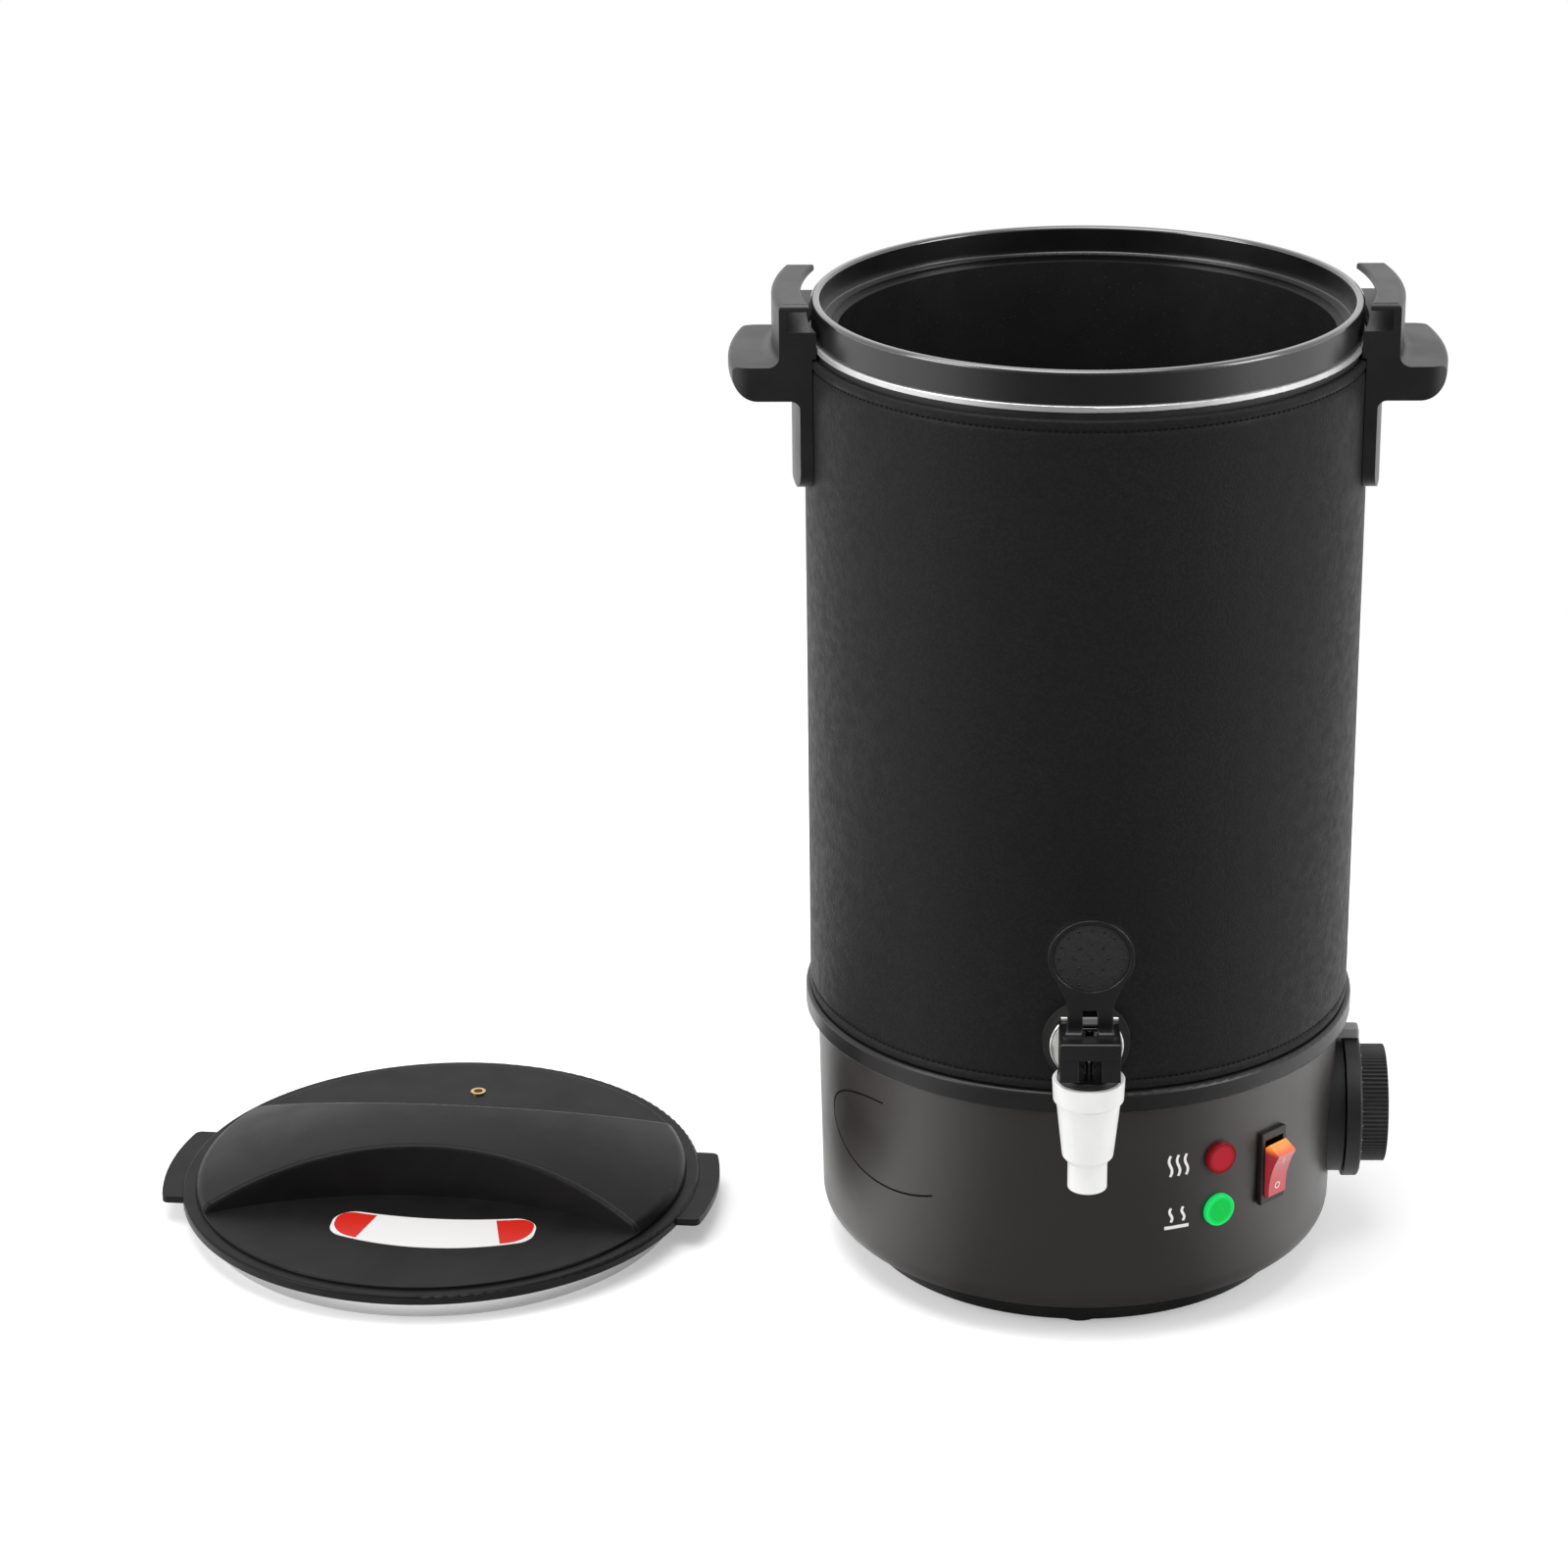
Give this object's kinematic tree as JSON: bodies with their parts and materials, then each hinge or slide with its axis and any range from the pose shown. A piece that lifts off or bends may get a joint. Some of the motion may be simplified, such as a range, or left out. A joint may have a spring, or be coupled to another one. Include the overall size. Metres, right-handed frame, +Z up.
{
  "type": "candle wax melter",
  "caption": "Electric wax melting pot: leather-sleeved can on a heater base with a thermostat dial, lamps, a lever tap and a twist-lock lid lying beside it.",
  "frame": {"origin": "on the pot's axis at the floor, under the middle of the bottom plate", "axes": "+Z up along the pot's axis, -Y towards the tap, +X towards the thermostat dial"},
  "size_m": [0.5272, 0.284, 0.4083],
  "materials": {
    "housing_black": "satin",
    "ledge_black": "gloss",
    "base_black": "satin",
    "foot_rubber": "matt",
    "plate_steel": "satin",
    "screw_steel": "zinc plated",
    "sleeve_leather": "fine grain",
    "shell_black": "satin",
    "pot_coating": "non-stick, gloss",
    "rim_black": "gloss",
    "trim_bright": "polished",
    "handle_black": "gloss",
    "spreader_aluminium": "as cast",
    "element_steel": "heat tinted",
    "bulb_copper": "copper",
    "ceramic_cream": "ceramic",
    "control_grey": "matt",
    "dial_black": "satin",
    "pointer_grey": "satin",
    "lens_red": "clear",
    "lens_green": "clear",
    "switch_black": "satin",
    "rocker_red": "clear",
    "contact_brass": "plain",
    "tap_chrome": "polished",
    "seal_silicone": "matt",
    "plug_silicone": "matt",
    "lever_black": "satin",
    "spout_white": "satin",
    "lid_black": "satin",
    "lid_steel": "polished",
    "label_white": "film",
    "eyelet_brass": "plain"
  },
  "bodies": {
    "pot": {"rubber_feet": "foot_rubber", "foot_screws": "screw_steel", "base_ring": "base_black", "bottom_plate": "plate_steel", "housing_screws": "screw_steel", "base_housing": "housing_black", "sleeve_ledge": "ledge_black", "outer_shell": "shell_black", "body_bolts": "screw_steel", "leather_sleeve": "sleeve_leather", "inner_pot": "pot_coating", "pot_stud": "screw_steel", "rim_ring": "rim_black", "rim_trim": "trim_bright", "right_handle": "handle_black", "left_handle": "handle_black", "handle_screws": "screw_steel", "heat_spreader": "spreader_aluminium", "heating_element": "element_steel", "element_clamp": "plate_steel", "clamp_nut": "screw_steel", "thermal_cutout": "control_grey", "thermostat_bulb": "bulb_copper", "bulb_clip": "plate_steel", "capillary_tube": "bulb_copper", "terminal_block": "ceramic_cream", "block_screws": "screw_steel", "thermostat_body": "control_grey", "knob_collar": "dial_black", "thermostat_screws": "screw_steel", "dial_pointer": "pointer_grey", "red_lamp_lens": "lens_red", "green_lamp_lens": "lens_green", "lamp_bodies": "ceramic_cream", "switch_frame": "switch_black", "switch_tabs": "contact_brass", "power_inlet": "switch_black", "inlet_pins": "contact_brass", "tap_shank": "tap_chrome", "tap_flange": "tap_chrome", "tap_gasket_outer": "seal_silicone", "tap_gasket_inner": "seal_silicone", "tap_nut": "tap_chrome", "tap_body": "tap_chrome", "tap_bonnet": "lever_black", "tap_spring": "screw_steel", "tap_spout": "spout_white"},
    "tap_stem": {"tap_stem": "tap_chrome", "tap_pin": "tap_chrome", "seat_plug": "plug_silicone"},
    "tap_lever": {"tap_lever": "lever_black"},
    "dial": {"dial_knob": "dial_black", "thermostat_shaft": "screw_steel"},
    "rocker": {"rocker_button": "rocker_red"},
    "lid": {"lid_shell": "lid_black", "lid_liner": "lid_steel", "lid_screws": "screw_steel", "lid_eyelet": "eyelet_brass", "lid_label": "label_white"}
  },
  "joints": [
    {"name": "tap_lift", "type": "slide", "parent": "pot", "child": "tap_stem", "axis": [0, 0, 1], "range_m": [0, 0.0025], "stiffness_N_per_m": 400, "springref_m": -0.006, "deforming": ["tap_spring"]},
    {"name": "tap_lever_pull", "type": "hinge", "parent": "tap_stem", "child": "tap_lever", "pos_m": [0, -0.142, 0.16], "axis": [1, 0, 0], "range_deg": [0, 25]},
    {"name": "dial_turn", "type": "hinge", "parent": "pot", "child": "dial", "pos_m": [0.1103, 0, 0.057], "axis": [-1, 0, 0], "range_deg": [0, 300]},
    {"name": "rocker_tip", "type": "hinge", "parent": "pot", "child": "rocker", "pos_m": [0.07428, -0.07428, 0.066], "axis": [-0.7071, -0.7071, 0], "range_deg": [0, 28]},
    {"name": "lid_lift", "type": "slide", "parent": "pot", "child": "lid", "axis": [0, 0, 1], "range_m": [0, 0.5]}
  ],
  "couplings": [
    {"joint": "tap_lever_pull", "follows": "tap_lift", "rad_per_m": 174.5}
  ]
}
